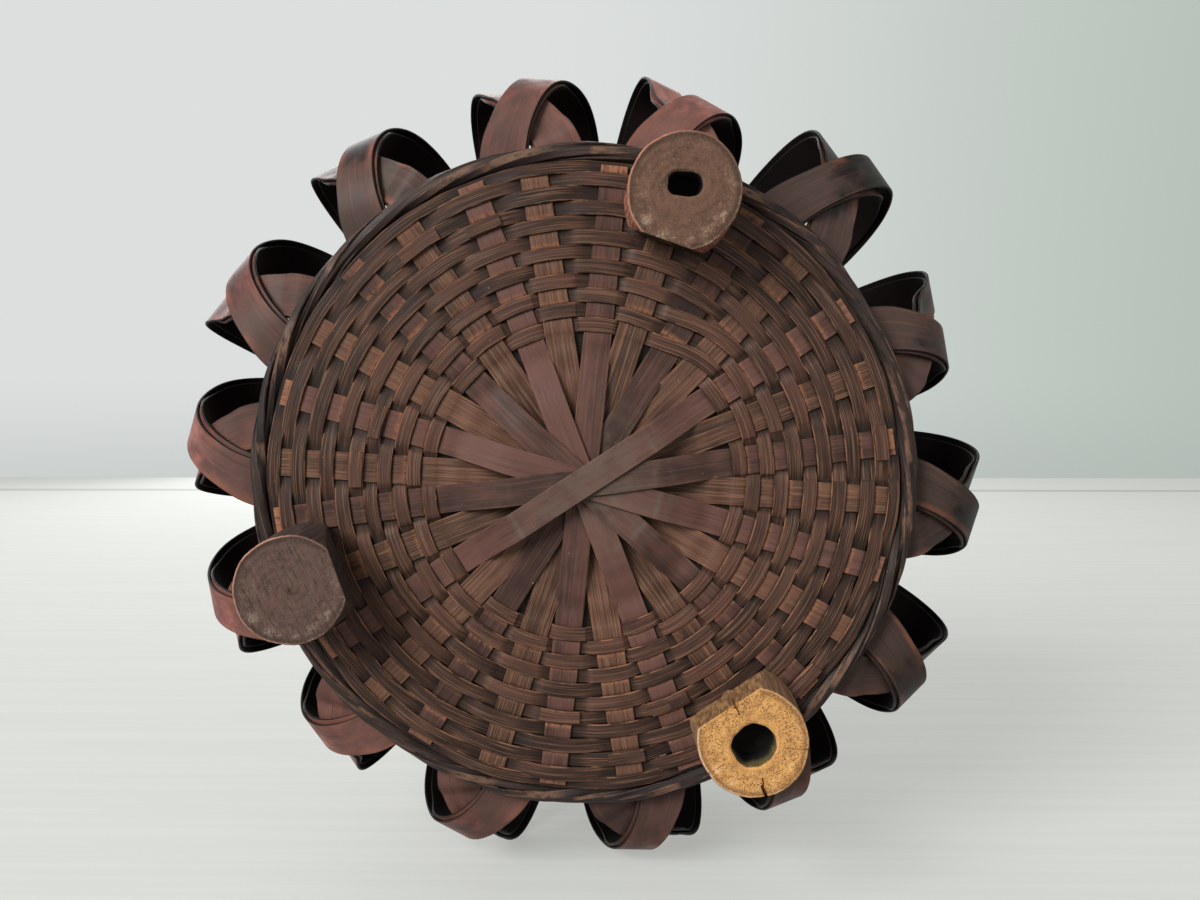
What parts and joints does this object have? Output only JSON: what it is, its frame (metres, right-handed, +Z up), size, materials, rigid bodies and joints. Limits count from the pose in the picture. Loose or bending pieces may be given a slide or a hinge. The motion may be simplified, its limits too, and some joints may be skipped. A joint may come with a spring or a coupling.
{
  "type": "ikebana basket",
  "caption": "Round woven bamboo flower basket on short root feet, with pairs of crossing looped strips round its side, an arched handle and a lift-out bamboo water tube.",
  "frame": {"origin": "centre of the outline on the surface that the feet stand on, on the basket's axis", "axes": "+Z up along the basket's axis, X across the handle's span, Y through the handle's opening"},
  "size_m": [0.2875, 0.2813, 0.322],
  "materials": {
    "weave": "dark smoked bamboo weft, satin, with a lighter grain",
    "border": "thin smoked bamboo strips, twisted, satin",
    "skin_strip": "red-brown bamboo skin, satin",
    "loop_strip": "red-brown to plum lacquered bamboo skin, semi-gloss",
    "hoop": "split bamboo hoop, semi-gloss",
    "rod": "smoked thin bamboo, semi-gloss",
    "winding": "rattan peel winding, satin",
    "peg": "cut bamboo, matt",
    "foot_brown": "sawn bamboo root, fibrous, matt",
    "foot_grey": "sawn bamboo root with saw marks, matt",
    "foot_tan": "freshly cut bamboo root with dark vessels, matt",
    "tube": "bamboo culm, satin, dark inside"
  },
  "bodies": {
    "basket": {"loop_outer_01": "loop_strip", "loop_inner_01": "loop_strip", "loop_outer_02": "loop_strip", "loop_inner_02": "loop_strip", "loop_outer_03": "loop_strip", "loop_inner_03": "loop_strip", "loop_outer_04": "loop_strip", "loop_inner_04": "loop_strip", "loop_outer_05": "loop_strip", "loop_inner_05": "loop_strip", "loop_outer_06": "loop_strip", "loop_inner_06": "loop_strip", "loop_outer_07": "loop_strip", "loop_inner_07": "loop_strip", "loop_outer_08": "loop_strip", "loop_inner_08": "loop_strip", "loop_outer_09": "loop_strip", "loop_inner_09": "loop_strip", "loop_outer_10": "loop_strip", "loop_inner_10": "loop_strip", "loop_outer_11": "loop_strip", "loop_inner_11": "loop_strip", "loop_outer_12": "loop_strip", "loop_inner_12": "loop_strip", "loop_outer_13": "loop_strip", "loop_inner_13": "loop_strip", "loop_outer_14": "loop_strip", "loop_inner_14": "loop_strip", "base_strip_1": "skin_strip", "base_strip_2": "skin_strip", "base_strip_3": "skin_strip", "base_strip_4": "skin_strip", "base_strip_5": "skin_strip", "base_strip_6": "skin_strip", "base_strip_7": "skin_strip", "foot_1": "foot_brown", "foot_2": "foot_grey", "foot_3": "foot_tan", "foot_1_peg": "peg", "foot_2_peg": "peg", "foot_3_peg": "peg", "rim_pin_left": "peg", "rim_pin_right": "peg", "loop_hoop_lower": "hoop", "loop_hoop_middle": "hoop", "loop_hoop_upper": "hoop", "rim_hoop_outer": "hoop", "rim_hoop_inner": "hoop", "handle_rod_1": "rod", "handle_rod_2": "rod", "handle_rod_3": "rod", "handle_winding_crown": "winding", "handle_winding_left": "winding", "handle_winding_right": "winding", "base_weave": "weave", "wall_weave": "weave", "base_border": "border", "rim_border": "border"},
    "tube": {"water_tube": "tube"}
  },
  "joints": [
    {"name": "tube_lift", "type": "slide", "parent": "basket", "child": "tube", "axis": [0, 0, 1], "range_m": [0, 0.12]}
  ]
}
